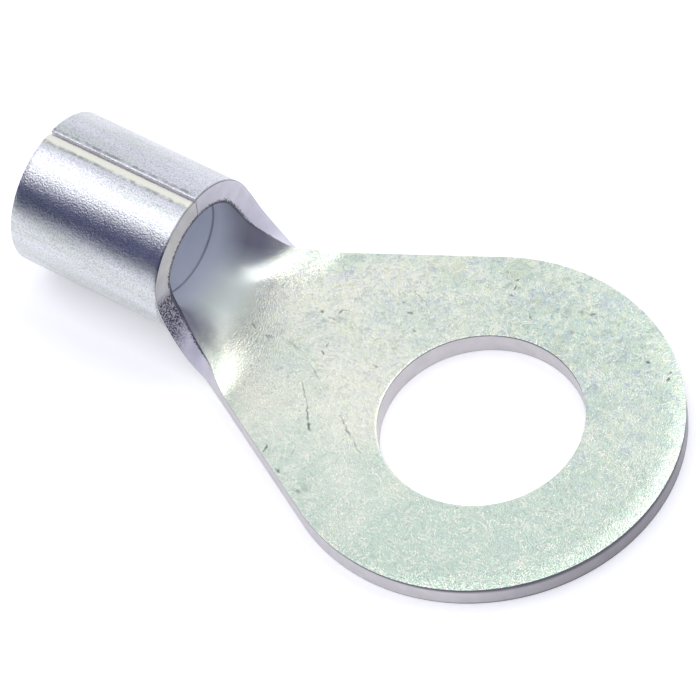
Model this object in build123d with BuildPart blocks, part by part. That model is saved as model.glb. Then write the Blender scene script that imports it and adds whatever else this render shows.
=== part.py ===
"""Bare ring terminal, stamped from one strip of plated sheet.

The flat tongue carries the ring and its stud hole. Its two flanks taper to a neck, behind which
the strip widens into two wings that are rolled up into the wire barrel and meet in a seam on top.
The underside of the tongue is level with the bottom of the barrel.

Frame: origin on the axis of the stud hole, on the underside. +X runs from the barrel to the ring
along the terminal, +Z is up, out of the upper face of the tongue.
"""

from build123d import *
import os
from math import asin, copysign, cos, pi, radians, sin, sqrt, tan

# Driving dimensions, in millimetres and degrees
sheet = 1.0  # thickness of the strip
stud_hole_diameter = 8.4  # clears an 8 mm stud
ring_width = 16.4
wire_bore_diameter = 4.6
barrel_length = 7.35
hole_to_barrel = 13.35  # from the stud hole's axis to the barrel's front rim
neck_width = 5.35  # of the blank, between the corners where the flanks would meet the wings unrounded
wing_angle = 108  # round the barrel, from its bottom to where the wing's front edge leaves the rim
shoulder_angle = 76.3  # between the long axis and that front edge, which runs in to the neck
shoulder_radius = 1.6  # inside corner of the blank, between the front edge and the flank
unrolling_length = 3.85  # from the rim to where the whole strip is flat
floor_width = 1.55  # the strip's middle, which flattens sooner than its two wings
floor_unrolling_length = 2.0  # from the rim to where the middle is flat
seam_gap = 0.06
seam_offset = 0.25  # of the seam's middle, towards +Y
seam_edge_radii = 0.4, 0.06  # of the wings' outer edges along the seam, on the -Y and +Y side
draw_in_width = 0.8  # the upper face dips towards the sheared edge over this width
draw_in_depth = 0.08
draw_in_start = 0.012  # how far the dip's middle handle lies under the upper face
rim_fade = 0.25  # share of the dip that is left at the rim
line_setback = 1.25  # from the front rim to the line that the forming mandrel left in the bore
line_width = 0.12
line_depth = 0.04
corner_sections = 6  # of the neck, along the rounded corner of the blank
flank_sections = 3  # of the neck, from there to where the strip is flat

# Sizes that follow
ring_radius = ring_width / 2
bore_radius = wire_bore_diameter / 2
barrel_radius = bore_radius + sheet
rolled_radius = bore_radius + sheet / 2  # of the middle of the sheet
barrel_axis = Axis((0, 0, barrel_radius), (1, 0, 0))
rim_x = -hole_to_barrel
flat_x = rim_x + unrolling_length

# The flanks are tangent to the ring and run in to the neck's corners
steep = radians(shoulder_angle)
rim_half_width = rolled_radius * radians(wing_angle)
corner_x = rim_x + (rim_half_width - neck_width / 2) / tan(steep)
hole_to_corner = Vector(corner_x, neck_width / 2).length
slope = asin(ring_radius / hole_to_corner) - asin(neck_width / 2 / hole_to_corner)
along_flank, off_flank = Vector(cos(slope), sin(slope)), Vector(-sin(slope), cos(slope))
ring_tangent = ring_radius * off_flank

# The corner is rounded between the wing's front edge and the flank
setback = shoulder_radius * tan((slope + steep) / 2)
corner_start_x, corner_end_x = corner_x - setback * cos(steep), corner_x + setback * cos(slope)
corner_centre_x = corner_end_x - shoulder_radius * sin(slope)


def half_width(x):
    """Half the flat blank's width between the rim of the barrel and the ring."""
    if x <= corner_start_x:
        return rim_half_width - (x - rim_x) * tan(steep)
    if x >= corner_end_x:
        return (ring_radius + x * sin(slope)) / cos(slope)
    centre_y = half_width(corner_end_x) + shoulder_radius * cos(slope)
    return centre_y - sqrt(shoulder_radius**2 - (x - corner_centre_x) ** 2)


def bend(x, length):
    """Bend of the sheet's middle at x, where it eases off over a length from the rim."""
    share = min(1, (x - rim_x) / length)
    return 0 if share == 1 else (1 + cos(pi * share)) / (2 * rolled_radius)


def neck_section(x):
    """Draws the strip's section at x: a band of the sheet's thickness, bent to three arcs.

    The floor in the middle and the wing on each side have one bend each, which eases off from the
    rolled barrel to the flat tongue. At both ends the band's upper face dips to the sheared edge,
    and the dip fades towards the barrel.
    """
    wing_bend, floor_bend = bend(x, unrolling_length), bend(x, floor_unrolling_length)
    fade = rim_fade + (1 - rim_fade) * (x - rim_x) / unrolling_length
    end = half_width(x)
    dip = fade * draw_in_width / cos(slope)

    def middle(reach):
        """The place and the turn of the sheet's middle at a distance along it, on the +Y side."""
        place, turn = Vector(0, sheet / 2), 0
        on_floor = min(reach, floor_width / 2)
        for length, rate in ((on_floor, floor_bend), (reach - on_floor, wing_bend)):
            next_turn = turn + length * rate
            if rate:
                place += Vector(sin(next_turn) - sin(turn), cos(turn) - cos(next_turn)) / rate
            else:
                place += Vector(cos(turn), sin(turn)) * length
            turn = next_turn
        return place, turn

    def at(along, depth):
        """The point at a distance along the sheet from its middle, and a depth below its top."""
        place, turn = middle(abs(along))
        place += Vector(-sin(turn), cos(turn)) * (sheet / 2 - depth)
        return Vector(copysign(place.X, along), place.Y)

    def across(reach, depth):
        """The wing, floor and wing across the sheet at one depth, out to reach."""
        stops = [-reach, -floor_width / 2, floor_width / 2, reach]
        edges = []
        for start, stop, rate in zip(stops, stops[1:], (wing_bend, floor_bend, wing_bend)):
            first, last = at(start, depth), at(stop, depth)
            halfway = at((start + stop) / 2, depth)
            edges.append(ThreePointArc(first, halfway, last) if rate else Line(first, last))
        return edges

    turn = middle(end - dip)[1]
    inward = Vector(sin(turn), -cos(turn))
    handle = Vector(cos(turn), sin(turn)) * dip / 2 + inward * fade * draw_in_start
    outline = across(end - dip, 0) + across(end, sheet)
    for side in (-1, 1):
        start, stop = at(side * (end - dip), 0), at(side * end, fade * draw_in_depth)
        outline.append(Bezier(start, start + Vector(side * handle.X, handle.Y), stop))
        outline.append(Line(stop, at(side * end, sheet)))
    return Plane((x, 0, 0), x_dir=(0, 1, 0), z_dir=(1, 0, 0)) * make_face(outline)


# Tongue: ring, stud hole and the straight flanks, up to where the strip begins to bend
neck_corner = Vector(flat_x, half_width(flat_x))
over_side = Vector(ring_tangent.X, -ring_tangent.Y)
with BuildPart() as tongue:
    with BuildSketch():
        with BuildLine():
            Line(neck_corner, ring_tangent)
            ThreePointArc(ring_tangent, (ring_radius, 0), over_side)
            Line(over_side, (neck_corner.X, -neck_corner.Y))
            Line((neck_corner.X, -neck_corner.Y), neck_corner)
        make_face()
        Circle(stud_hole_diameter / 2, mode=Mode.SUBTRACT)
    extrude(amount=sheet)

    # The dip that shearing leaves in the upper face, all along the outer edge
    raised = Vector(0, 0, sheet)
    path_start = neck_corner - draw_in_width * along_flank + raised
    with BuildLine() as sheared_edge:
        Line(path_start, ring_tangent + raised)
        ThreePointArc(ring_tangent + raised, (ring_radius, 0, sheet), over_side + raised)
        Line(over_side + raised, (path_start.X, -path_start.Y, sheet))
    with BuildSketch(Plane(path_start, x_dir=off_flank, z_dir=along_flank)):
        with BuildLine():
            Bezier((-draw_in_width, 0), (-draw_in_width / 2, -draw_in_start), (0, -draw_in_depth))
            Polyline(
                (0, -draw_in_depth),
                (draw_in_width, -draw_in_depth),
                (draw_in_width, draw_in_width),
                (-draw_in_width, draw_in_width),
                (-draw_in_width, 0),
            )
        make_face()
    sweep(path=sheared_edge.line, mode=Mode.SUBTRACT)

# Neck: the strip rolling up from the flat tongue to the barrel
first_angle, corner_step = pi / 2 - steep, (slope + steep) / (corner_sections - 1)
stations = [rim_x, (rim_x + corner_start_x) / 2]
for n in range(corner_sections):
    stations.append(corner_centre_x - shoulder_radius * cos(first_angle + n * corner_step))
for n in range(flank_sections):
    stations.append(corner_end_x + (flat_x - corner_end_x) * (n + 1) / flank_sections)
sections = [neck_section(x) for x in stations]
with BuildPart() as neck:
    loft(sections=sections)

# The whole strip in one piece: the rolled barrel with its open seam on top, neck and tongue
with BuildPart() as ring_terminal:
    rim_centre = barrel_axis.position + (rim_x, 0, 0)
    with BuildSketch(Plane(rim_centre, x_dir=(0, 1, 0), z_dir=(-1, 0, 0))):
        Circle(barrel_radius)
        Circle(bore_radius, mode=Mode.SUBTRACT)
        with Locations((seam_offset, -barrel_radius)):
            Rectangle(seam_gap, 3 * sheet, mode=Mode.SUBTRACT)
    extrude(amount=barrel_length)
    add(neck.part)
    add(tongue.part)

    seam_edges = ring_terminal.edges().filter_by(Axis.X).sort_by(Axis.Z)[-2:].sort_by(Axis.Y)
    for edge, radius in zip(seam_edges, seam_edge_radii):
        fillet(edge, radius)

    # The fine line round the bore
    with BuildSketch(Plane.XZ):
        with Locations((rim_x - line_setback, barrel_radius + bore_radius)):
            Rectangle(line_width, 2 * line_depth)
    revolve(axis=barrel_axis, mode=Mode.SUBTRACT)

os.makedirs("parts", exist_ok=True)
ring_terminal.part.label = "ring_terminal"
export_step(ring_terminal.part, "parts/ring_terminal.step")
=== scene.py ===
"""Looks of a bare ring terminal: zinc-plated strip on a white floor under soft studio lamps.

Sizes are in millimetres in the dataclasses and become metres where they reach the scene.
"""

import logging
import math
from dataclasses import dataclass
from enum import IntEnum
from functools import partial
from typing import Any, Callable

import bmesh
import bpy
from mathutils import Matrix, Vector


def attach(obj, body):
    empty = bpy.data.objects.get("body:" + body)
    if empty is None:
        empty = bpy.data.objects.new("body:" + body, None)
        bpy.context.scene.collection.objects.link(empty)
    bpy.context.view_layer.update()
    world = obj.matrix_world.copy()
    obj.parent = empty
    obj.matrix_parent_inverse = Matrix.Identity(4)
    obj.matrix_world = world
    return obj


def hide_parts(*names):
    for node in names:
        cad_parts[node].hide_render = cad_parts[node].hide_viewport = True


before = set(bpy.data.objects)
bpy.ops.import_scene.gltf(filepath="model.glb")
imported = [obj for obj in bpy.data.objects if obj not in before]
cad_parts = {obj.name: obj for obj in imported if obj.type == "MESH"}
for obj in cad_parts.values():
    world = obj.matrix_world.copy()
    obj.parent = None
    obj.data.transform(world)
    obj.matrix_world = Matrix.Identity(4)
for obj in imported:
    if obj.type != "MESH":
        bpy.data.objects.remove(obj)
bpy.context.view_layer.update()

LOG = logging.getLogger("ring_terminal")
MM = 0.001  # metres in a millimetre
NODE = "ring_terminal"
Span = tuple[float, float]  # two places, sizes or limits
RGBA = {"data_type": "RGBA"}  # for Mix nodes, which then blend colours


def linear(hex_colour: str) -> tuple[float, float, float, float]:
    """Turns an sRGB hex colour into linear light.

    Args:
        hex_colour: six hex digits, such as "d8dedb".

    Returns:
        Red, green, blue and an alpha of 1.
    """
    shares = [int(hex_colour[i : i + 2], 16) / 255 for i in (0, 2, 4)]
    light = [s / 12.92 if s <= 0.04045 else ((s + 0.055) / 1.055) ** 2.4 for s in shares]
    return (*light, 1.0)


def add_node(
    tree: bpy.types.NodeTree,
    kind: str,
    output: str | int = 0,
    settings: dict[str, Any] | None = None,
    inputs: dict[str | int, Any] | None = None,
) -> bpy.types.NodeSocket:
    """Adds a node with its settings, plain values and links.

    Args:
        tree: the node tree that takes the node.
        kind: the node's type, such as "ShaderNodeTexNoise".
        output: name or number of the output to hand back.
        settings: properties of the node by name.
        inputs: a plain value or another node's output socket, by input name or number.

    Returns:
        The node's output socket.
    """
    node = tree.nodes.new(kind)
    for name, value in (settings or {}).items():
        setattr(node, name, value)
    for name, value in (inputs or {}).items():
        if isinstance(value, bpy.types.NodeSocket):
            tree.links.new(value, node.inputs[name])
        else:
            node.inputs[name].default_value = value
    return node.outputs[output] if len(node.outputs) else node.inputs[0]


def new_material(name: str) -> tuple[bpy.types.Material, Callable[..., bpy.types.NodeSocket]]:
    """Makes an empty node material.

    Args:
        name: the finish's name.

    Returns:
        The material, and add_node for its tree.
    """
    material = bpy.data.materials.new(name)
    material.use_nodes = True
    material.node_tree.nodes.clear()
    return material, partial(add_node, material.node_tree)


def add_band(
    node: Callable[..., bpy.types.NodeSocket],
    value: bpy.types.NodeSocket,
    middle: float,
    limits: Span,
    strength: float,
) -> bpy.types.NodeSocket:
    """Adds the nodes of a soft band about one level of a value, such as a line at a place.

    Args:
        node: adds a node to the material's tree.
        value: the value, such as the place along the terminal.
        middle: the level in the middle of the band.
        limits: distances from there at which the band is full and at which it has faded out.
        strength: strength of the full band.

    Returns:
        The band's strength at each point.
    """
    off = node("ShaderNodeMath", 0, {"operation": "SUBTRACT"}, {0: value, 1: middle})
    off = node("ShaderNodeMath", 0, {"operation": "ABSOLUTE"}, {0: off})
    full, none = limits
    return node("ShaderNodeMapRange", 0, None, {0: off, 1: full, 2: none, 3: strength, 4: 0.0})


@dataclass(frozen=True)
class Strip:
    """The strip's flat blank and the law by which it is rolled, in millimetres.

    A point of the strip has x along the terminal, s across the flat blank from its middle line,
    and a share of the thickness, 0 on the upper face and 1 on the lower. The upper face becomes
    the bore and the lower face the outside of the barrel.
    """

    sheet: float = 1.0
    stud_hole_diameter: float = 8.4
    ring_width: float = 16.4
    wire_bore_diameter: float = 4.6
    barrel_length: float = 7.35
    hole_to_barrel: float = 13.35
    neck_width: float = 5.35
    wing_angle_deg: float = 108.0
    shoulder_angle_deg: float = 76.3
    shoulder_radius: float = 1.6
    unrolling_length: float = 3.85
    floor_width: float = 1.55
    floor_unrolling_length: float = 2.0
    seam_gap: float = 0.06
    seam_offset: float = 0.25
    seam_edge_widths: Span = (0.4, 0.14)
    seam_edge_drops: Span = (0.13, 0.05)
    draw_in_width: float = 0.8
    draw_in_depth: float = 0.08
    draw_in_start: float = 0.012
    rim_fade: float = 0.25
    shallow: float = 0.3
    shallow_span: Span = (-3.0, 3.0)
    line_setback: float = 1.25
    line_width: float = 0.12
    line_depth: float = 0.04

    @property
    def ring_radius(self) -> float:
        """Radius of the ring's outline."""
        return self.ring_width / 2

    @property
    def hole_radius(self) -> float:
        """Radius of the stud hole."""
        return self.stud_hole_diameter / 2

    @property
    def rolled_radius(self) -> float:
        """Radius of the middle of the sheet in the barrel."""
        return (self.wire_bore_diameter + self.sheet) / 2

    @property
    def rim_x(self) -> float:
        """Place of the barrel's front rim."""
        return -self.hole_to_barrel

    @property
    def rear_x(self) -> float:
        """Place of the barrel's rear end."""
        return self.rim_x - self.barrel_length

    @property
    def flat_x(self) -> float:
        """Where the whole strip is flat."""
        return self.rim_x + self.unrolling_length

    @property
    def line_x(self) -> float:
        """Place of the line round the bore."""
        return self.rim_x - self.line_setback

    @property
    def rim_half_width(self) -> float:
        """Half width of the blank where the neck leaves the rim."""
        return self.rolled_radius * math.radians(self.wing_angle_deg)

    @property
    def steep(self) -> float:
        """Angle of the wing's front edge to the long axis."""
        return math.radians(self.shoulder_angle_deg)

    @property
    def corner_x(self) -> float:
        """Where the front edge and the flank would meet unrounded."""
        return self.rim_x + (self.rim_half_width - self.neck_width / 2) / math.tan(self.steep)

    @property
    def slope(self) -> float:
        """Angle of the flank to the long axis; the flank is tangent to the ring.

        Returns:
            The angle, in radians.
        """
        half = self.neck_width / 2
        reach = math.hypot(self.corner_x, half)
        return math.asin(self.ring_radius / reach) - math.asin(half / reach)

    @property
    def corner_span(self) -> Span:
        """Where the rounded corner starts, on the front edge, and ends, on the flank.

        Returns:
            The two places along the terminal.
        """
        setback = self.shoulder_radius * math.tan((self.slope + self.steep) / 2)
        return (
            self.corner_x - setback * math.cos(self.steep),
            self.corner_x + setback * math.cos(self.slope),
        )

    @property
    def seam_edges(self) -> Span:
        """Place across the blank of the -Y and +Y wings' edges along the seam.

        Returns:
            The two places across the blank.
        """
        round_half = math.pi * self.rolled_radius
        return (
            -(round_half + self.seam_offset - self.seam_gap / 2),
            round_half - self.seam_offset - self.seam_gap / 2,
        )

    def half_width(self, x: float) -> float:
        """Gives half the flat blank's width between the rim and the ring.

        Args:
            x: place along the terminal.

        Returns:
            The half width.
        """
        start, end = self.corner_span
        if x <= start:
            return self.rim_half_width - (x - self.rim_x) * math.tan(self.steep)
        if x >= end:
            return (self.ring_radius + x * math.sin(self.slope)) / math.cos(self.slope)
        centre_x = end - self.shoulder_radius * math.sin(self.slope)
        centre_s = self.half_width(end) + self.shoulder_radius * math.cos(self.slope)
        return centre_s - math.sqrt(self.shoulder_radius**2 - (x - centre_x) ** 2)

    def fade(self, x: float) -> float:
        """Share of the edge's dip that is left at x; it fades towards the barrel."""
        share = min(1.0, max(0.0, (x - self.rim_x) / self.unrolling_length))
        return self.rim_fade + (1 - self.rim_fade) * share

    def dip_width(self, x: float) -> float:
        """Width across the blank of the edge's dip at x, on the neck."""
        return self.fade(x) * self.draw_in_width / math.cos(self.slope)

    def edge_distance(self, x: float, s: float) -> float:
        """Gives the distance from a point of the tongue or neck to the blank's outline.

        Args:
            x: place along the terminal.
            s: place across the flat blank.

        Returns:
            The distance.
        """
        if x < self.flat_x:
            return (self.half_width(x) - abs(s)) * math.cos(self.slope)
        if x * math.cos(self.slope) + abs(s) * math.sin(self.slope) < 0:
            return self.ring_radius + x * math.sin(self.slope) - abs(s) * math.cos(self.slope)
        return self.ring_radius - math.hypot(x, s)

    def upper(self, x: float, s: float) -> float:
        """Gives the depth of the upper face: the dip along the edge and the line in the bore.

        Args:
            x: place along the terminal.
            s: place across the flat blank.

        Returns:
            The depth below the sheet's own upper face.
        """
        if x < self.rim_x:
            off_line = abs(x - self.line_x) / (self.line_width / 2)
            return self.line_depth * max(0.0, 1 - off_line**2)
        fade = self.fade(x)
        u = 1 - self.edge_distance(x, s) / (fade * self.draw_in_width)
        u = min(1.0, max(0.0, u))
        dip = 2 * u * (1 - u) * self.draw_in_start + u * u * self.draw_in_depth
        start, stop = self.shallow_span
        share = min(1.0, max(0.0, (x - start) / (stop - start)))
        return fade * dip * (self.shallow + (1 - self.shallow) * share)

    def lower(self, x: float, s: float) -> float:
        """Gives the depth of the lower face, rounded off at the seam's edges.

        Args:
            x: place along the terminal.
            s: place across the flat blank.

        Returns:
            The depth below the sheet's own upper face.
        """
        if x > self.rim_x:
            return self.sheet
        rounded = 0.0
        for edge, width, drop in zip(self.seam_edges, self.seam_edge_widths, self.seam_edge_drops):
            inside = 1 - abs(s - edge) / width
            if inside > 0:
                rounded = drop * (1 - math.sqrt(max(0.0, 1 - inside**2)))
        return self.sheet - rounded

    def bend(self, x: float, length: float) -> float:
        """Bend of the sheet's middle at x, where it eases off over a length from the rim."""
        share = min(1.0, max(0.0, (x - self.rim_x) / length))
        return (1 + math.cos(math.pi * share)) / (2 * self.rolled_radius)

    def rolled(self, x: float, s: float, share: float) -> Vector:
        """Place of a point of the strip in the finished terminal.

        Args:
            x: place along the terminal.
            s: place across the flat blank.
            share: share of the thickness below the upper face.

        Returns:
            The place, in millimetres.
        """
        side = -1.0 if s < 0 else 1.0
        across, height, turn = 0.0, self.sheet / 2, 0.0
        on_floor = min(abs(s), self.floor_width / 2)
        for length, rate in (
            (on_floor, self.bend(x, self.floor_unrolling_length)),
            (abs(s) - on_floor, self.bend(x, self.unrolling_length)),
        ):
            next_turn = turn + length * rate
            if rate * length > 1e-7:
                across += (math.sin(next_turn) - math.sin(turn)) / rate
                height += (math.cos(turn) - math.cos(next_turn)) / rate
            else:
                across += length * math.cos(turn)
                height += length * math.sin(turn)
            turn = next_turn
        upper, lower = self.upper(x, s), self.lower(x, s)
        rise = self.sheet / 2 - (upper + (lower - upper) * share)
        return Vector((x, side * (across - math.sin(turn) * rise), height + math.cos(turn) * rise))


class Face(IntEnum):
    """Kinds of surface on the stamping, which are its material slots in order."""

    SKIN = 0
    SHEARED = 1


@dataclass(frozen=True)
class Stamping:
    """The terminal: a flat blank that is pierced, thickened, broken at its edges and rolled.

    Attributes:
        edge_break: how far the sheared corners are worn round.
    """

    strip: Strip = Strip()
    name: str = "stamped_terminal"
    dip_columns: int = 5
    neck_columns: int = 26
    flank_rays: int = 26
    ring_rays: int = 120
    tongue_rings: int = 4
    dip_rings: int = 8
    corner_rows: int = 22
    flank_rows: int = 14
    barrel_rows: int = 26
    wing_columns: int = 12
    wall_cuts: int = 5
    edge_break: float = 0.025

    def columns(self, x: float) -> list[float]:
        """Places the rows of vertices that run along the neck.

        Args:
            x: place along the terminal.

        Returns:
            Their places across the blank at x, in order.
        """
        half, dip = self.strip.half_width(x), self.strip.dip_width(x)
        inner = half - dip
        side = [half - dip * (1 - i / self.dip_columns) for i in range(1, self.dip_columns + 1)]
        middle = [inner * (2 * i / self.neck_columns - 1) for i in range(self.neck_columns + 1)]
        return [-s for s in reversed(side)] + middle + side

    def neck_rows(self) -> list[float]:
        """Places the rows of vertices across the neck.

        Returns:
            Their places along the terminal, from the tongue to the rim.
        """
        strip = self.strip
        start, end = strip.corner_span
        centre = end - strip.shoulder_radius * math.sin(strip.slope)
        first, last = math.pi / 2 - strip.steep, math.pi / 2 + strip.slope
        rows = [strip.rim_x]
        for i in range(self.corner_rows + 1):
            angle = first + (last - first) * i / self.corner_rows
            rows.append(centre - strip.shoulder_radius * math.cos(angle))
        rows += [end + (strip.flat_x - end) * (i + 1) / self.flank_rows for i in range(self.flank_rows)]
        return rows[-2::-1]

    def barrel_stations(self) -> list[float]:
        """Places the rows of vertices round the barrel, closer together at the line in the bore.

        Returns:
            Their places along the terminal, from the rim to the rear.
        """
        strip = self.strip
        near_line = [strip.line_x + strip.line_width / 2 * i / 2 for i in range(-2, 3)]
        step = strip.barrel_length / self.barrel_rows
        even = [strip.rim_x - step * (i + 1) for i in range(self.barrel_rows)]
        clear = [x for x in even if abs(x - strip.line_x) > step / 2]
        return sorted(clear + near_line, reverse=True)

    def wing_stations(self, side: int) -> list[float]:
        """Places the rows of vertices along one wing.

        Args:
            side: -1 for the -Y wing, 1 for the +Y wing.

        Returns:
            Their places across the blank, from the neck's width to the seam.
        """
        strip = self.strip
        edge = strip.seam_edges[0 if side < 0 else 1]
        width = strip.seam_edge_widths[0 if side < 0 else 1]
        start, stop = side * strip.rim_half_width, edge - side * width
        rows = [start + (stop - start) * (i + 1) / self.wing_columns for i in range(self.wing_columns)]
        return rows + [edge - side * width * (1 - math.sin(math.pi / 2 * i / 5)) for i in range(1, 6)]

    def rays(self) -> list[float]:
        """Gives the directions from the stud hole's centre along which the tongue is built.

        Returns:
            The angles once round, in radians.
        """
        strip = self.strip
        neck = [math.atan2(s, strip.flat_x) % math.tau for s in reversed(self.columns(strip.flat_x))]
        tangent = math.pi / 2 + strip.slope
        flank = [tangent + (neck[0] - tangent) * i / self.flank_rays for i in range(self.flank_rays)]
        ring = [tangent * (2 * i / self.ring_rays - 1) for i in range(self.ring_rays)]
        turn = (math.tau - tangent - neck[-1]) / self.flank_rays
        other = [neck[-1] + turn * i for i in range(1, self.flank_rays)]
        return ring + flank + neck + other

    def reach(self, angle: float) -> Span:
        """Measures a ray from the hole's centre.

        Args:
            angle: the ray's direction, in radians.

        Returns:
            The distances to where the dip starts and to the tongue's outline.
        """
        strip = self.strip
        angle = math.pi - abs(math.pi - angle % math.tau)
        corner = math.atan2(strip.half_width(strip.flat_x), strip.flat_x)
        if angle > corner:
            slant = math.cos(corner - math.pi / 2 - strip.slope)
            outline = strip.flat_x / math.cos(angle)
        else:
            slant = math.cos(max(0.0, angle - math.pi / 2 - strip.slope))
            outline = strip.ring_radius / slant
        return outline - strip.draw_in_width / slant, outline

    def extend(
        self, built: bmesh.types.BMesh, edges: list[bmesh.types.BMEdge], place: Callable[[Vector], Vector]
    ) -> list[bmesh.types.BMEdge]:
        """Extrudes a row of edges and puts its new vertices in their places.

        Args:
            built: the mesh.
            edges: the row to extrude.
            place: gives a new vertex's place from the one it was extruded from.

        Returns:
            The new row of edges.
        """
        made = bmesh.ops.extrude_edge_only(built, edges=edges)["geom"]
        for vert in (item for item in made if isinstance(item, bmesh.types.BMVert)):
            vert.co = place(vert.co)
        return [item for item in made if isinstance(item, bmesh.types.BMEdge) and item.is_boundary
                and all(v in made for v in item.verts)]

    def blank(self) -> bmesh.types.BMesh:
        """Builds the blank's upper face, flat: x along, s across, share of the thickness up.

        Returns:
            The open sheet.
        """
        strip = self.strip
        built = bmesh.new()
        rays = self.rays()
        bmesh.ops.create_circle(built, segments=len(rays), radius=strip.hole_radius)
        for vert, angle in zip(built.verts, rays):
            vert.co = Vector((math.cos(angle), math.sin(angle), 0)) * strip.hole_radius
        row = list(built.edges)
        shares = [0.03] + [(i + 1) / self.tongue_rings for i in range(self.tongue_rings)]
        for share in shares:
            row = self.extend(built, row, lambda p: self.on_ray(p, share, 0.0))
        for i in range(self.dip_rings):
            row = self.extend(built, row, lambda p: self.on_ray(p, 1.0, (i + 1) / self.dip_rings))
        row = [e for e in row if all(abs(v.co.x - strip.flat_x) < 1e-4 for v in e.verts)]
        here = self.columns(strip.flat_x)
        for x in self.neck_rows():
            there = self.columns(x)
            row = self.extend(built, row, lambda p: Vector((x, there[nearest(here, p.y)], 0)))
            here = there
        for x in self.barrel_stations():
            row = self.extend(built, row, lambda p: Vector((x, p.y, 0)))
        for side in (-1, 1):
            edge = side * strip.rim_half_width
            row = [e for e in built.edges if e.is_boundary and all(
                abs(v.co.y - edge) < 1e-4 and v.co.x < strip.rim_x + 1e-4 for v in e.verts)]
            for s in self.wing_stations(side):
                row = self.extend(built, row, lambda p: Vector((p.x, s, 0)))
        return built

    def on_ray(self, place: Vector, inner: float, outer: float) -> Vector:
        """Places a vertex on its ray.

        Args:
            place: where the vertex was, on the same ray.
            inner: share of the way from the hole to the dip.
            outer: share of the way from there to the outline.

        Returns:
            The new place.
        """
        ray = place.normalized()
        dip, outline = self.reach(math.atan2(ray.y, ray.x))
        hole = self.strip.hole_radius
        return ray * (hole + (dip - hole) * inner + (outline - dip) * outer)

    def build(self) -> bpy.types.Object:
        """Builds the finished terminal.

        Returns:
            The terminal's object.
        """
        strip = self.strip
        built = self.blank()
        bmesh.ops.recalc_face_normals(built, faces=built.faces)
        bmesh.ops.solidify(built, geom=list(built.faces), thickness=1.0)
        low = min(v.co.z for v in built.verts)
        for vert in built.verts:
            vert.co.z = round(vert.co.z - low)
        sharp = [e for e in built.edges if len(e.link_faces) == 2 and e.calc_face_angle(0) > 1
                 and abs(e.verts[0].co.z - e.verts[1].co.z) < 0.5 and self.broken(e)]
        bmesh.ops.bevel(built, geom=sharp, offset=self.edge_break, segments=2, profile=0.5,
                        affect="EDGES", material=-1, clamp_overlap=True)
        walls = [e for e in built.edges if abs(e.verts[0].co.z - e.verts[1].co.z) > 0.5]
        bmesh.ops.subdivide_edges(built, edges=walls, cuts=self.wall_cuts, use_grid_fill=True)
        layer = built.verts.layers.float_vector.new("blank")
        for face in built.faces:
            face.normal_update()
            face.material_index = Face.SHEARED if abs(face.normal.z) < 0.5 else Face.SKIN
            face.smooth = True
        for vert in built.verts:
            vert[layer] = vert.co
            vert.co = strip.rolled(*vert.co) * MM
        built.normal_update()
        bmesh.ops.recalc_face_normals(built, faces=built.faces)
        for edge in built.edges:
            edge.smooth = edge.calc_face_angle(0) < math.radians(40)
        mesh = bpy.data.meshes.new(self.name)
        built.to_mesh(mesh)
        built.free()
        piece = bpy.data.objects.new(self.name, mesh)
        bpy.context.scene.collection.objects.link(piece)
        return piece

    def broken(self, edge: bmesh.types.BMEdge) -> bool:
        """Tells whether a corner of the flat blank is worn round: all but the dip's and the seam's.

        Args:
            edge: the corner's edge.

        Returns:
            True where it is worn.
        """
        strip = self.strip
        x, s, share = (edge.verts[0].co + edge.verts[1].co) / 2
        if x < strip.rim_x - 1e-4:
            return x < strip.rear_x + 1e-4
        if x < strip.rim_x + 1e-4:
            return True
        return share > 0.5 or math.hypot(x, s) < strip.hole_radius + 1e-3


def nearest(places: list[float], place: float) -> int:
    """Number of the place in a list that lies nearest to the one given."""
    return min(range(len(places)), key=lambda i: abs(places[i] - place))


@dataclass(frozen=True)
class Mark:
    """A scratch, pit or patch of painted shade on the tongue's upper face, a thin ellipse about a place in
    millimetres.
    """

    x: float
    y: float
    half_length: float
    half_width: float
    turn_deg: float
    darkness: float


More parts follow.
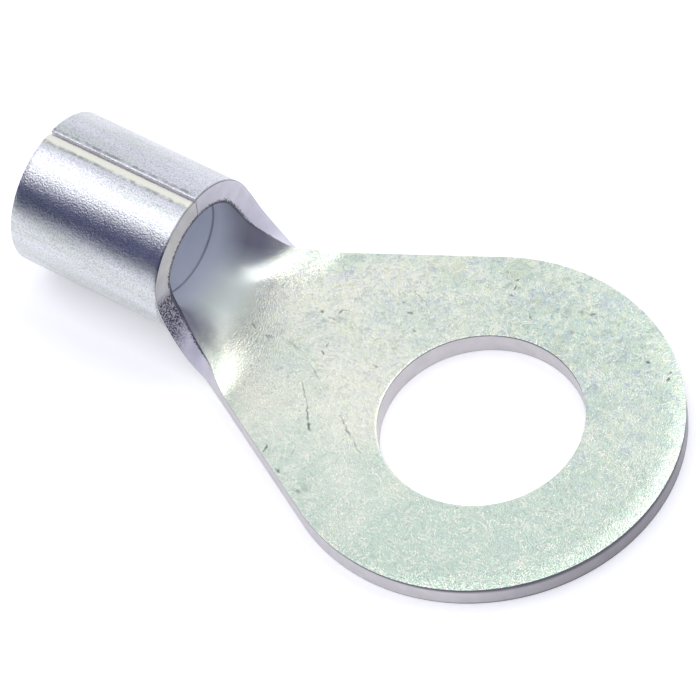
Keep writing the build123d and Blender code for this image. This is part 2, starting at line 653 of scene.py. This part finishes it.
MARKS_AND_PAINTED_SHADE = (
    # Painted shade: a dark patch by the neck's near corner, where the floor turns up
    Mark(-11.7, -2.5, 1.1, 0.5, -42, 0.22),
    # Long curved scratches between the neck and the hole
    Mark(-7.05, -2.37, 0.72, 0.03, -45, 0.45),
    Mark(-6.30, -3.18, 0.58, 0.04, -48, 0.55),
    Mark(-5.86, -3.70, 0.25, 0.07, -45, 0.70),
    Mark(-7.29, -1.33, 0.56, 0.04, -28, 0.30),
    Mark(-4.82, -2.80, 0.40, 0.03, -36, 0.40),
    Mark(-4.36, -3.13, 0.34, 0.07, -29, 0.50),
    Mark(-3.60, -3.58, 0.63, 0.04, -34, 0.30),
    Mark(-5.67, 3.89, 0.77, 0.03, -22, 0.40),
    Mark(-8.80, -0.68, 0.46, 0.06, -14, 0.30),
    # Pits and smudges behind the hole
    Mark(-8.73, 1.27, 0.13, 0.08, -1, 0.55),
    Mark(-8.06, 1.68, 0.17, 0.07, 91, 0.55),
    Mark(-7.86, 1.85, 0.23, 0.03, 8, 0.30),
    Mark(-8.19, 1.22, 0.22, 0.04, -1, 0.45),
    Mark(-9.96, -0.81, 0.22, 0.08, 13, 0.40),
    Mark(-5.54, 3.00, 0.17, 0.08, 8, 0.55),
    Mark(-6.08, 3.31, 0.10, 0.08, 52, 0.45),
    Mark(-4.88, 2.36, 0.13, 0.07, -19, 0.55),
    Mark(-7.51, -0.42, 0.15, 0.06, -25, 0.65),
    Mark(-7.56, 0.01, 0.14, 0.04, 92, 0.45),
    Mark(-5.23, 0.11, 0.17, 0.06, 8, 0.45),
    Mark(-10.77, -0.66, 0.26, 0.06, -44, 0.45),
    # Along the near flank
    Mark(-6.80, -5.42, 0.24, 0.06, -70, 0.70),
    Mark(-5.70, -6.09, 0.17, 0.08, -23, 0.65),
    Mark(-4.38, -6.55, 0.15, 0.08, 8, 0.40),
    Mark(-4.22, -6.24, 0.30, 0.20, -18, 0.20),
    Mark(-5.71, -5.03, 0.22, 0.04, 88, 0.30),
    # Round the ring
    Mark(-2.65, 6.53, 0.12, 0.07, -109, 0.60),
    Mark(-2.51, 6.18, 0.16, 0.06, -65, 0.65),
    Mark(-2.44, 5.75, 0.15, 0.05, 18, 0.45),
    Mark(-1.15, 5.25, 0.15, 0.06, -47, 0.50),
    Mark(0.53, 6.42, 0.17, 0.10, -1, 0.40),
    Mark(1.01, 6.58, 0.16, 0.08, 18, 0.50),
    Mark(0.71, 5.43, 0.18, 0.12, -1, 0.35),
    Mark(4.30, 5.69, 0.10, 0.08, -19, 0.75),
    Mark(5.44, 5.37, 0.14, 0.09, 91, 0.75),
    Mark(5.35, 5.69, 0.10, 0.07, 94, 0.65),
    Mark(1.59, -4.06, 0.08, 0.06, 30, 0.35),
)


@dataclass(frozen=True)
class ZincPlate:
    """Bright zinc electroplate with a clear passivation film, on the sheet's two faces.

    The plating is a dull bright metal whose fine grain breaks up every reflection's border. The
    film tints it cream at the tongue's middle and mint towards its edges and round the ring,
    with fine yellow and blue grains, short pale fibres and dark hairlines. In the bore and the
    heel of the neck it is dull and grey, which softens the shade there; the darker grey on the
    wings' inner faces is painted shade. On the barrel it is grey with blue specks, partly the
    film's grain and partly a painted reflection of the dark surround. The real grain is too fine
    to show, so grain_mm is coarser than it. Real zinc is metal throughout: rubbed_metallic and
    the painted grey on the wings stand in for the soft light and the shade between the wings.
    """

    strip: Strip = Strip()
    name: str = "zinc_plate_clear_passivated"
    cream: str = "f6fae4"
    mint: str = "d8ead5"
    bore_grey: str = "eceff5"
    barrel_grey: str = "e8e8ea"
    barrel_green: str = "cfd5cc"
    seam_yellow: str = "f4f5e2"
    patch_mm: float = 3.2
    streak_mm: float = 0.9
    mottle_mm: float = 1.0
    mint_across_mm: Span = (2.2, 5.5)
    mint_along_mm: Span = (-5.0, 3.0)
    rubbed_along_mm: Span = (-12.5, -10.9)
    dull_along_mm: Span = (-12.6, -10.4)
    gleam_across_mm: float = 1.7
    gleam_slant: float = 0.6
    wing_across_mm: Span = (0.9, 2.9)
    bore_along_mm: Span = (-14.2, -12.9)
    grainy_across_mm: Span = (-5.0, 6.0)
    speckle_mm: float = 0.24
    speckle_strength: float = 0.34
    hairline_mm: float = 1.1
    hairline_darkness: float = 0.22
    hairline_band: float = 0.012
    rim_shade_mm: Span = (0.03, 0.11)
    rim_shade_darkness: float = 0.65
    bore_line_mm: Span = (0.03, 0.07)
    bore_line_shade: float = 0.5
    near_edge_shade_mm: Span = (0.02, 0.1)
    near_edge_shade_darkness: float = 0.45
    far_edge_shade_mm: Span = (0.02, 0.08)
    far_edge_shade_darkness: float = 0.5
    far_edge_shade_setback_mm: float = 0.13
    edge_shade_gap_mm: float = 0.3
    ragged_mm: float = 0.25
    ragged_shift_mm: float = 0.25
    # The dark colour of the hairlines, scratches and pits, and of the lines of painted shade
    grime_and_shade: str = "20242f"
    grain_mm: float = 0.07
    grain_depth_mm: float = 0.016
    roughness: float = 0.17
    barrel_roughness: float = 0.28
    rubbed_roughness: float = 0.5
    rubbed_metallic: float = 0.45
    floor_mint: str = "eef6ea"
    wing_painted_shade: str = "8f8e9d"
    barrel_speck_and_reflection: str = "6a7098"
    speck_strength: float = 0.36
    fibre: str = "fbfbe8"
    fibre_strength: float = 0.7
    fibre_mm: float = 0.7
    fibre_level: float = 0.46
    fibre_band: float = 0.035
    blue_grain: str = "aeb9dc"
    yellow_grain: str = "f2f3bd"
    dark_grain: str = "93a19f"
    marks: tuple[Mark, ...] = MARKS_AND_PAINTED_SHADE

    def build(self) -> bpy.types.Material:
        """Builds the material.

        Returns:
            The new material.
        """
        strip = self.strip
        material, node = new_material(self.name)
        place = node("ShaderNodeTexCoord", "Object")
        blank = node("ShaderNodeAttribute", "Vector", {"attribute_name": "blank"})
        along, across, share = node("ShaderNodeSeparateXYZ", 0, None, {0: blank}).node.outputs

        # Cream in the tongue's middle, mint towards the flanks and round the ring
        off_middle = node("ShaderNodeMath", 0, {"operation": "ABSOLUTE"}, {0: across})
        inner, outer = self.mint_across_mm
        off_middle = node(
            "ShaderNodeMapRange", 0, None, {0: off_middle, 1: inner, 2: outer, 3: 0.0, 4: 0.7}
        )
        back, front = self.mint_along_mm
        forward = node("ShaderNodeMapRange", 0, None, {0: along, 1: back, 2: front, 3: 0.0, 4: 0.8})
        patch = node(
            "ShaderNodeTexNoise", "Fac", None,
            {"Vector": place, "Scale": 1 / (self.patch_mm * MM), "Detail": 4.0, "Distortion": 0.6},
        )
        patch = node("ShaderNodeMapRange", 0, None, {0: patch, 1: 0.35, 2: 0.65, 3: -0.45, 4: 0.45})
        tint = node("ShaderNodeMath", 0, {"operation": "ADD"}, {0: off_middle, 1: forward})
        tint = node("ShaderNodeMath", 0, {"operation": "ADD", "use_clamp": True}, {0: tint, 1: patch})
        colour = node(
            "ShaderNodeMix", 2, RGBA,
            {0: tint, 6: linear(self.cream), 7: linear(self.mint)},
        )

        # The smooth bore, from the barrel into the neck, and the barrel's outside
        inside = node("ShaderNodeMapRange", 0, None, {0: share, 1: 0.45, 2: 0.55, 3: 1.0, 4: 0.0})
        back, front = self.rubbed_along_mm
        soft = {"interpolation_type": "SMOOTHSTEP"}
        rubbed = node("ShaderNodeMapRange", 0, soft, {0: along, 1: back, 2: front, 3: 1.0, 4: 0.0})

        # The dull stretch ends further back beside the middle, on the +Y side
        slant = node("ShaderNodeMath", 0, {"operation": "MAXIMUM"}, {0: across, 1: 0.0})
        slant = node("ShaderNodeMath", 0, {"operation": "PINGPONG"}, {0: slant, 1: self.gleam_across_mm})
        slant = {0: slant, 1: self.gleam_slant, 2: along}
        slant = node("ShaderNodeMath", 0, {"operation": "MULTIPLY_ADD"}, slant)
        back, front = self.dull_along_mm
        dull = node("ShaderNodeMapRange", 0, soft, {0: slant, 1: back, 2: front, 3: 1.0, 4: 0.0})
        dull = node("ShaderNodeMath", 0, {"operation": "MULTIPLY"}, {0: inside, 1: dull})
        bore = node("ShaderNodeMath", 0, {"operation": "MULTIPLY"}, {0: inside, 1: rubbed})
        # Painted shade: darker grey on the wings' inner faces, away from the neck's floor
        wing = node("ShaderNodeMath", 0, {"operation": "ABSOLUTE"}, {0: across})
        inner, outer = self.wing_across_mm
        wing = node("ShaderNodeMapRange", 0, None, {0: wing, 1: inner, 2: outer, 3: 0.0, 4: 1.0})
        heel = node(
            "ShaderNodeMix", 2, RGBA,
            {0: wing, 6: linear(self.floor_mint), 7: linear(self.wing_painted_shade)},
        )
        back, front = self.bore_along_mm
        behind = node("ShaderNodeMapRange", 0, None, {0: along, 1: back, 2: front, 3: 1.0, 4: 0.0})
        heel = node("ShaderNodeMix", 2, RGBA, {0: behind, 6: heel, 7: linear(self.bore_grey)})
        colour = node("ShaderNodeMix", 2, RGBA, {0: bore, 6: colour, 7: heel})
        outside = node("ShaderNodeMath", 0, {"operation": "SUBTRACT"}, {0: rubbed, 1: bore})
        drawn = node("ShaderNodeMapping", 0, None, {0: place, 3: (0.12, 1.0, 1.0)})
        streaks = node(
            "ShaderNodeTexNoise", "Fac", None,
            {"Vector": drawn, "Scale": 1 / (self.streak_mm * MM), "Detail": 4.0, "Roughness": 0.65},
        )
        streaks = node("ShaderNodeMapRange", 0, None, {0: streaks, 1: 0.35, 2: 0.65, 3: 0.0, 4: 1.0})
        barrel = node(
            "ShaderNodeMix", 2, RGBA,
            {0: streaks, 6: linear(self.barrel_grey), 7: linear(self.barrel_green)},
        )
        # Blue specks on the barrel: partly the film's grain, partly a painted reflection of the dark
        # surround
        specks = node(
            "ShaderNodeTexNoise", "Fac", None,
            {"Vector": place, "Scale": 1 / (self.grain_mm * MM), "Detail": 1.0},
        )
        specks = node(
            "ShaderNodeMapRange", 0, None, {0: specks, 1: 0.46, 2: 0.64, 3: 0.0, 4: self.speck_strength}
        )
        barrel = node("ShaderNodeMix", 2, RGBA, {0: specks, 6: barrel, 7: linear(self.barrel_speck_and_reflection)})
        colour = node("ShaderNodeMix", 2, RGBA, {0: outside, 6: colour, 7: barrel})

        # Yellow and blue grains, strongest on the far side of the ring and none where it is smooth
        near, far = self.grainy_across_mm
        far = node("ShaderNodeMapRange", 0, None, {0: across, 1: near, 2: far, 3: 0.2, 4: 1.1})
        rough = node("ShaderNodeMath", 0, {"operation": "SUBTRACT"}, {0: 1.0, 1: rubbed})
        amount = node("ShaderNodeMath", 0, {"operation": "MULTIPLY"}, {0: far, 1: rough})
        amount = node("ShaderNodeMath", 0, {"operation": "MULTIPLY"}, {0: amount, 1: self.speckle_strength})
        for size, strength in ((self.speckle_mm, 1.0), (self.mottle_mm, 0.6)):
            grains = node(
                "ShaderNodeTexNoise", "Color", None,
                {"Vector": place, "Scale": 1 / (size * MM), "Detail": 2.0, "Distortion": 1.2},
            )
            levels = node("ShaderNodeSeparateColor", 0, None, {0: grains}).node.outputs
            for level, grain in zip(levels, (self.blue_grain, self.yellow_grain, self.dark_grain)):
                part = {0: level, 1: 0.52, 2: 0.68, 3: 0.0, 4: strength}
                part = node("ShaderNodeMapRange", 0, None, part)
                part = node("ShaderNodeMath", 0, {"operation": "MULTIPLY"}, {0: amount, 1: part})
                colour = node("ShaderNodeMix", 2, RGBA, {0: part, 6: colour, 7: linear(grain)})

        # Short pale fibres all over the tongue: thin bands about one level of a noise
        fibre = node(
            "ShaderNodeTexNoise",
            "Fac",
            None,
            {
                "Vector": place,
                "Scale": 1 / (self.fibre_mm * MM),
                "Detail": 3.0,
                "Roughness": 0.6,
                "Distortion": 0.8,
            },
        )
        fibre = add_band(node, fibre, self.fibre_level, (0.0, self.fibre_band), self.fibre_strength)
        fibre = node("ShaderNodeMath", 0, {"operation": "MULTIPLY"}, {0: fibre, 1: rough})
        colour = node("ShaderNodeMix", 2, RGBA, {0: fibre, 6: colour, 7: linear(self.fibre)})

        # Fine curled hairlines: thin bands about one level of a noise
        level = node(
            "ShaderNodeTexNoise", "Fac", None,
            {"Vector": place, "Scale": 1 / (self.hairline_mm * MM), "Detail": 2.5, "Distortion": 1.5},
        )
        hairline = add_band(node, level, 0.5, (0.0, self.hairline_band), self.hairline_darkness)
        patchy = node("ShaderNodeMapRange", 0, None, {0: patch, 1: -0.3, 2: 0.3, 3: 0.0, 4: 1.0})
        hairline = node("ShaderNodeMath", 0, {"operation": "MULTIPLY"}, {0: hairline, 1: patchy})
        dark = node("ShaderNodeMath", 0, {"operation": "MULTIPLY"}, {0: hairline, 1: rough})

        # The scratches and pits, and the one patch of painted shade, their outlines roughened
        shift = {"Vector": place, "Scale": 1 / (self.ragged_mm * MM), "Detail": 2.0}
        shift = node("ShaderNodeTexNoise", "Color", None, shift)
        shift = node("ShaderNodeVectorMath", 0, {"operation": "SUBTRACT"}, {0: shift, 1: (0.5, 0.5, 0.5)})
        shift = {0: shift, "Scale": self.ragged_shift_mm}
        shift = node("ShaderNodeVectorMath", 0, {"operation": "SCALE"}, shift)
        warped = node("ShaderNodeVectorMath", 0, {"operation": "ADD"}, {0: blank, 1: shift})
        for mark in self.marks:
            local = node(
                "ShaderNodeMapping",
                0,
                {"vector_type": "TEXTURE"},
                {
                    0: warped,
                    1: (mark.x, mark.y, 0.0),
                    2: (0.0, 0.0, math.radians(mark.turn_deg)),
                    3: (mark.half_length, mark.half_width, 0.3),
                },
            )
            off = node("ShaderNodeVectorMath", "Value", {"operation": "LENGTH"}, {0: local})
            marked = node("ShaderNodeMapRange", 0, None, {0: off, 1: 0.4, 2: 1.1, 3: mark.darkness, 4: 0.0})
            dark = node("ShaderNodeMath", 0, {"operation": "MAXIMUM"}, {0: dark, 1: marked})

        # Painted shade along the edge of the barrel's front rim
        rim = add_band(node, along, strip.rim_x, self.rim_shade_mm, self.rim_shade_darkness)
        rolled_up = node("ShaderNodeMath", 0, {"operation": "ABSOLUTE"}, {0: across})
        free = strip.rim_half_width
        rolled_up = node("ShaderNodeMapRange", 0, None, {0: rolled_up, 1: free, 2: free + 0.5})
        rim = node("ShaderNodeMath", 0, {"operation": "MULTIPLY"}, {0: rim, 1: rolled_up})
        rim = node("ShaderNodeMath", 0, {"operation": "MULTIPLY"}, {0: rim, 1: outside})
        dark = node("ShaderNodeMath", 0, {"operation": "MAXIMUM"}, {0: dark, 1: rim})

        # The line round the bore, darkened with painted shade in its groove
        line = add_band(node, along, strip.line_x, self.bore_line_mm, self.bore_line_shade)
        line = node("ShaderNodeMath", 0, {"operation": "MULTIPLY"}, {0: line, 1: bore})
        dark = node("ShaderNodeMath", 0, {"operation": "MAXIMUM"}, {0: dark, 1: line})
        # Pale yellow on the near wing's rounded edge along the seam
        turn_in = strip.seam_edges[0] + strip.seam_edge_widths[0]
        groove = node(
            "ShaderNodeMapRange", 0, None, {0: across, 1: turn_in - 0.06, 2: turn_in + 0.04, 3: 1.0, 4: 0.0}
        )
        groove = node("ShaderNodeMath", 0, {"operation": "MULTIPLY"}, {0: groove, 1: outside})
        colour = node("ShaderNodeMix", 2, RGBA, {0: groove, 6: colour, 7: linear(self.seam_yellow)})
        # Broken lines of painted shade along the seam: a grey line where the near wing's edge begins to
        # turn in, and one where the far wing's edge turns
        edge_shade = add_band(node, across, turn_in, self.near_edge_shade_mm, self.near_edge_shade_darkness)
        far_edge = strip.seam_edges[1] - self.far_edge_shade_setback_mm
        edge = add_band(node, across, far_edge, self.far_edge_shade_mm, self.far_edge_shade_darkness)
        edge_shade = node("ShaderNodeMath", 0, {"operation": "MAXIMUM"}, {0: edge_shade, 1: edge})
        gaps = {"Vector": place, "Scale": 1 / (self.edge_shade_gap_mm * MM), "Detail": 3.0}
        gaps = node("ShaderNodeTexNoise", "Fac", None, gaps)
        gaps = node("ShaderNodeMapRange", 0, None, {0: gaps, 1: 0.36, 2: 0.6, 3: 0.0, 4: 1.0})
        edge_shade = node("ShaderNodeMath", 0, {"operation": "MULTIPLY"}, {0: edge_shade, 1: gaps})
        edge_shade = node("ShaderNodeMath", 0, {"operation": "MULTIPLY"}, {0: edge_shade, 1: outside})
        dark = node("ShaderNodeMath", 0, {"operation": "MAXIMUM"}, {0: dark, 1: edge_shade})
        colour = node("ShaderNodeMix", 2, RGBA, {0: dark, 6: colour, 7: linear(self.grime_and_shade)})

        # The grain, none in the bore
        grain = node(
            "ShaderNodeTexNoise", "Fac", None,
            {"Vector": place, "Scale": 1 / (self.grain_mm * MM), "Detail": 2.0, "Roughness": 0.6},
        )
        strength = node("ShaderNodeMath", 0, {"operation": "SUBTRACT"}, {0: 1.0, 1: bore})
        bump = node(
            "ShaderNodeBump", 0, None,
            {"Strength": strength, "Distance": self.grain_depth_mm * MM, "Height": grain},
        )
        roughness = {0: outside, 1: 0.0, 2: 1.0, 3: self.roughness, 4: self.barrel_roughness}
        roughness = node("ShaderNodeMapRange", 0, None, roughness)
        roughness = node(
            "ShaderNodeMapRange", 0, None, {0: dull, 1: 0.0, 2: 1.0, 3: roughness, 4: self.rubbed_roughness}
        )
        metallic = node(
            "ShaderNodeMapRange", 0, None, {0: dull, 1: 0.0, 2: 1.0, 3: 1.0, 4: self.rubbed_metallic}
        )
        surface = node(
            "ShaderNodeBsdfPrincipled", 0, None,
            {"Base Color": colour, "Metallic": metallic, "Roughness": roughness, "Normal": bump},
        )
        node("ShaderNodeOutputMaterial", 0, None, {"Surface": surface})
        return material


@dataclass(frozen=True)
class ShearedZinc:
    """The sheared edge of the sheet, plated with the rest: dull pale lilac-grey.

    Its two corners are dark lines of painted shade, where the metal turns away. At the neck's near
    corner the edge is torn and dark. Its low metallic stands in for the light that falls on it,
    and the grey at the ring's front is painted shade.
    """

    strip: Strip = Strip()
    name: str = "zinc_plate_on_sheared_edge"
    lilac: str = "f3f0f8"
    ring_grey: str = "f0ece9"
    front_shade: str = "a9a6a8"
    # The dark colour of the clouds and the torn stretch, and of the painted shade at the corners
    grime_and_shade: str = "484456"
    corner_shares: Span = (0.09, 0.34)
    torn_span_mm: Span = (-13.3, -12.1)
    tear_mm: float = 0.07
    tear_depth_mm: float = 0.008
    cloud_mm: float = 0.6
    pale_along_mm: Span = (-10.0, -11.5)
    pale_across_mm: Span = (-6.0, -4.2)
    front_shade_along_mm: Span = (3.5, 8.0)
    corner_along_mm: Span = (-2.0, 6.0)
    seam_clearance_mm: float = 0.05
    metallic: float = 0.35
    roughness: float = 0.45

    def build(self) -> bpy.types.Material:
        """Builds the material.

        Returns:
            The new material.
        """
        strip = self.strip
        material, node = new_material(self.name)
        place = node("ShaderNodeTexCoord", "Object")
        blank = node("ShaderNodeAttribute", "Vector", {"attribute_name": "blank"})
        along, across, share = node("ShaderNodeSeparateXYZ", 0, None, {0: blank}).node.outputs
        tears = node(
            "ShaderNodeTexNoise", "Fac", None,
            {"Vector": place, "Scale": 1 / (self.tear_mm * MM), "Detail": 2.0},
        )
        clouds = {"Vector": place, "Scale": 1 / (self.cloud_mm * MM), "Detail": 3.0}
        clouds = node("ShaderNodeTexNoise", "Fac", None, clouds)
        dark = node("ShaderNodeMapRange", 0, None, {0: clouds, 1: 0.3, 2: 0.7, 3: 0.0, 4: 0.12})

        # Paler round the rim and the neck than round the ring
        front, back = self.pale_along_mm
        pale = node("ShaderNodeMapRange", 0, None, {0: along, 1: front, 2: back, 3: 0.0, 4: 1.0})
        outer, inner = self.pale_across_mm
        near_rim = node("ShaderNodeMapRange", 0, None, {0: across, 1: outer, 2: inner, 3: 0.1, 4: 1.0})
        pale = node("ShaderNodeMath", 0, {"operation": "MULTIPLY"}, {0: pale, 1: near_rim})
        clean = node(
            "ShaderNodeMix", 2, RGBA,
            {0: pale, 6: linear(self.ring_grey), 7: linear(self.lilac)},
        )

        # Painted shade: greyer towards the ring's front
        start, stop = self.front_shade_along_mm
        front = node("ShaderNodeMapRange", 0, None, {0: along, 1: start, 2: stop, 3: 0.0, 4: 1.0})
        clean = node("ShaderNodeMix", 2, RGBA, {0: front, 6: clean, 7: linear(self.front_shade)})

        # Painted shade along the two corners of the edge; tears make the upper one ragged
        ragged = node("ShaderNodeMapRange", 0, None, {0: tears, 1: 0.35, 2: 0.7, 3: 0.0, 4: 0.16})
        neck = node("ShaderNodeMapRange", 0, None, {0: along, 1: -10.9, 2: -11.4, 3: 0.0, 4: 1.0})
        ragged = node("ShaderNodeMath", 0, {"operation": "MULTIPLY"}, {0: ragged, 1: neck})
        upper = node("ShaderNodeMath", 0, {"operation": "SUBTRACT"}, {0: share, 1: ragged})
        thin, thick = self.corner_shares
        start, stop = self.corner_along_mm
        corner = node("ShaderNodeMapRange", 0, None, {0: along, 1: start, 2: stop, 3: thin, 4: thick})
        solid = node("ShaderNodeMath", 0, {"operation": "MULTIPLY"}, {0: corner, 1: 0.4})
        upper = node("ShaderNodeMapRange", 0, None, {0: upper, 1: solid, 2: corner, 3: 0.9, 4: 0.0})
        lower = node("ShaderNodeMath", 0, {"operation": "SUBTRACT"}, {0: 1.0, 1: share})
        lower = node("ShaderNodeMapRange", 0, None, {0: lower, 1: 0.0, 2: solid, 3: 0.9, 4: 0.0})
        corners = node("ShaderNodeMath", 0, {"operation": "MAXIMUM"}, {0: upper, 1: lower})
        off_seam = {0: along, 1: strip.rim_x - self.seam_clearance_mm}
        off_seam = node("ShaderNodeMath", 0, {"operation": "GREATER_THAN"}, off_seam)
        corners = node("ShaderNodeMath", 0, {"operation": "MULTIPLY"}, {0: corners, 1: off_seam})
        dark = node("ShaderNodeMath", 0, {"operation": "MAXIMUM"}, {0: dark, 1: corners})

        # The torn stretch on the near side of the neck
        start, stop = self.torn_span_mm
        torn = node("ShaderNodeMapRange", 0, None, {0: along, 1: stop, 2: stop - 0.6, 3: 0.0, 4: 1.0})
        begun = node("ShaderNodeMapRange", 0, None, {0: along, 1: start, 2: start + 0.1, 3: 0.0, 4: 1.0})
        near = node("ShaderNodeMath", 0, {"operation": "LESS_THAN"}, {0: across, 1: 0.0})
        torn = node("ShaderNodeMath", 0, {"operation": "MULTIPLY"}, {0: torn, 1: begun})
        torn = node("ShaderNodeMath", 0, {"operation": "MULTIPLY"}, {0: torn, 1: near})
        speckle = node("ShaderNodeMapRange", 0, None, {0: tears, 1: 0.42, 2: 0.58, 3: 1.0, 4: 0.35})
        torn = node("ShaderNodeMath", 0, {"operation": "MULTIPLY"}, {0: torn, 1: speckle})
        dark = node("ShaderNodeMath", 0, {"operation": "MAXIMUM"}, {0: dark, 1: torn})
        colour = node(
            "ShaderNodeMix", 2, RGBA,
            {0: dark, 6: clean, 7: linear(self.grime_and_shade)},
        )
        bump = {"Strength": 1.0, "Distance": self.tear_depth_mm * MM, "Height": tears}
        bump = node("ShaderNodeBump", 0, None, bump)
        surface = node(
            "ShaderNodeBsdfPrincipled", 0, None,
            {"Base Color": colour, "Metallic": self.metallic, "Roughness": self.roughness, "Normal": bump},
        )
        node("ShaderNodeOutputMaterial", 0, None, {"Surface": surface})
        return material


@dataclass(frozen=True)
class SoftLamp:
    """A rectangular softbox aimed at the origin, its first side as near to the X axis as can be.

    Attributes:
        radiance: how bright its face looks, where 1 is white.
    """

    name: str
    centre_mm: tuple[float, float, float]
    size_mm: Span
    radiance: float
    colour: str = "ffffff"

    def build(self) -> bpy.types.Object:
        """Adds the lamp to the scene.

        Returns:
            The lamp's object.
        """
        data = bpy.data.lights.new(self.name, "AREA")
        data.shape = "RECTANGLE"
        data.size, data.size_y = (side * MM for side in self.size_mm)
        data.color = linear(self.colour)[:3]
        data.energy = math.pi * data.size * data.size_y * self.radiance
        lamp = bpy.data.objects.new(self.name, data)
        bpy.context.scene.collection.objects.link(lamp)
        centre = Vector(self.centre_mm) * MM
        back = centre.normalized()
        side = (Vector((1, 0, 0)) - back * back.x).normalized()
        turned = Matrix((side, back.cross(side), back)).transposed().to_4x4()
        lamp.matrix_world = Matrix.Translation(centre) @ turned
        LOG.info("added %s at radiance %.2f", self.name, self.radiance)
        return lamp


@dataclass(frozen=True)
class PhotoCamera:
    """The camera, at the angle and distance that the photograph was taken from."""

    azimuth_deg: float = 45.024
    elevation_deg: float = 52.283
    roll_deg: float = -12.553
    distance_mm: float = 244.95
    aim_right_mm: float = -5.355
    aim_up_mm: float = 3.373
    sensor_mm: float = 36.0
    lens_mm: float = 314.96

    def build(self) -> bpy.types.Object:
        """Adds the camera and makes it the scene's own.

        Returns:
            The camera's object.
        """
        angles = (self.azimuth_deg, self.elevation_deg, self.roll_deg)
        around, above, roll = (math.radians(angle) for angle in angles)
        back = Vector(
            (math.sin(around) * math.cos(above), -math.cos(around) * math.cos(above), math.sin(above))
        )
        level = Vector((math.cos(around), math.sin(around), 0))
        right = Matrix.Rotation(roll, 3, back) @ level
        up = back.cross(right)
        place = back * self.distance_mm + right * self.aim_right_mm + up * self.aim_up_mm
        data = bpy.data.cameras.new("photo_camera")
        data.sensor_width, data.lens = self.sensor_mm, self.lens_mm
        data.clip_start, data.clip_end = 0.01, 10.0
        camera = bpy.data.objects.new("photo_camera", data)
        bpy.context.scene.collection.objects.link(camera)
        turned = Matrix((right, up, back)).transposed().to_4x4()
        camera.matrix_world = Matrix.Translation(place * MM) @ turned
        bpy.context.scene.camera = camera
        LOG.info("added %s at %.0f mm", camera.name, self.distance_mm)
        return camera


@dataclass(frozen=True)
class Studio:
    """The white floor, the surround and the lamps."""

    floor_side_mm: float = 6000.0
    floor_colour: str = "f2f2f2"
    floor_glow: float = 0.35
    surround: str = "40436e"
    surround_level: float = 1.0

    def floor(self) -> bpy.types.Object:
        """Adds the floor, level with the terminal's underside.

        Its own light makes it white to the camera and in the metal, and its shaded part keeps
        the terminal's shadow.

        Returns:
            The floor's object.
        """
        mesh = bpy.data.meshes.new("floor")
        built = bmesh.new()
        bmesh.ops.create_grid(built, x_segments=1, y_segments=1, size=self.floor_side_mm * MM / 2)
        built.to_mesh(mesh)
        built.free()
        floor = bpy.data.objects.new("floor", mesh)
        bpy.context.scene.collection.objects.link(floor)
        material, node = new_material("white_floor")
        path = node("ShaderNodeLightPath").node.outputs
        rays = {0: path["Is Camera Ray"], 1: path["Is Glossy Ray"]}
        seen = node("ShaderNodeMath", 0, {"operation": "MAXIMUM"}, rays)
        rays = {0: seen, 1: path["Is Transmission Ray"]}
        seen = node("ShaderNodeMath", 0, {"operation": "MAXIMUM"}, rays)
        level = node("ShaderNodeMath", 0, {"operation": "MULTIPLY"}, {0: seen, 1: self.floor_glow})
        glow = node("ShaderNodeEmission", 0, None, {"Strength": level})
        paint = node("ShaderNodeBsdfDiffuse", 0, None, {"Color": linear(self.floor_colour)})
        both = node("ShaderNodeAddShader", 0, None, {0: glow, 1: paint})
        node("ShaderNodeOutputMaterial", 0, None, {"Surface": both})
        mesh.materials.append(material)
        LOG.info("added %s", floor.name)
        return floor

    def world(self) -> bpy.types.World:
        """Sets the dim bluish surround that the metal's dark bands show.

        Returns:
            The world.
        """
        world = bpy.data.worlds.new("surround")
        world.use_nodes = True
        background = world.node_tree.nodes["Background"]
        background.inputs["Color"].default_value = linear(self.surround)
        background.inputs["Strength"].default_value = self.surround_level
        bpy.context.scene.world = world
        return world

    def lamps(self) -> list[bpy.types.Object]:
        """Adds the softboxes.

        Returns:
            The lamps' objects.
        """
        softboxes = [
            SoftLamp("overhead_softbox", (-60, -102, 450), (900, 320), 1.85),
            SoftLamp("back_softbox", (-200, 360, 270), (1100, 650), 0.83),
            SoftLamp("right_softbox", (140, 225, 450), (510, 220), 1.5),
            SoftLamp("front_fill", (330, -330, 160), (600, 300), 0.25),
        ]
        return [lamp.build() for lamp in softboxes]

    def build(self) -> None:
        """Builds the whole studio."""
        self.floor()
        self.world()
        self.lamps()


def main() -> None:
    """Builds the finishes, the studio and the camera in order, and logs each piece."""
    logging.basicConfig(level=logging.INFO, format="%(name)s: %(message)s")
    bpy.context.scene.view_settings.view_transform = "Standard"
    piece = Stamping().build()
    for finish in (ZincPlate(), ShearedZinc()):
        piece.data.materials.append(finish.build())
    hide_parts(NODE)
    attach(piece, "root")
    LOG.info("built %s with %d faces", piece.name, len(piece.data.polygons))
    Studio().build()
    PhotoCamera().build()


if __name__ == "__main__":
    main()
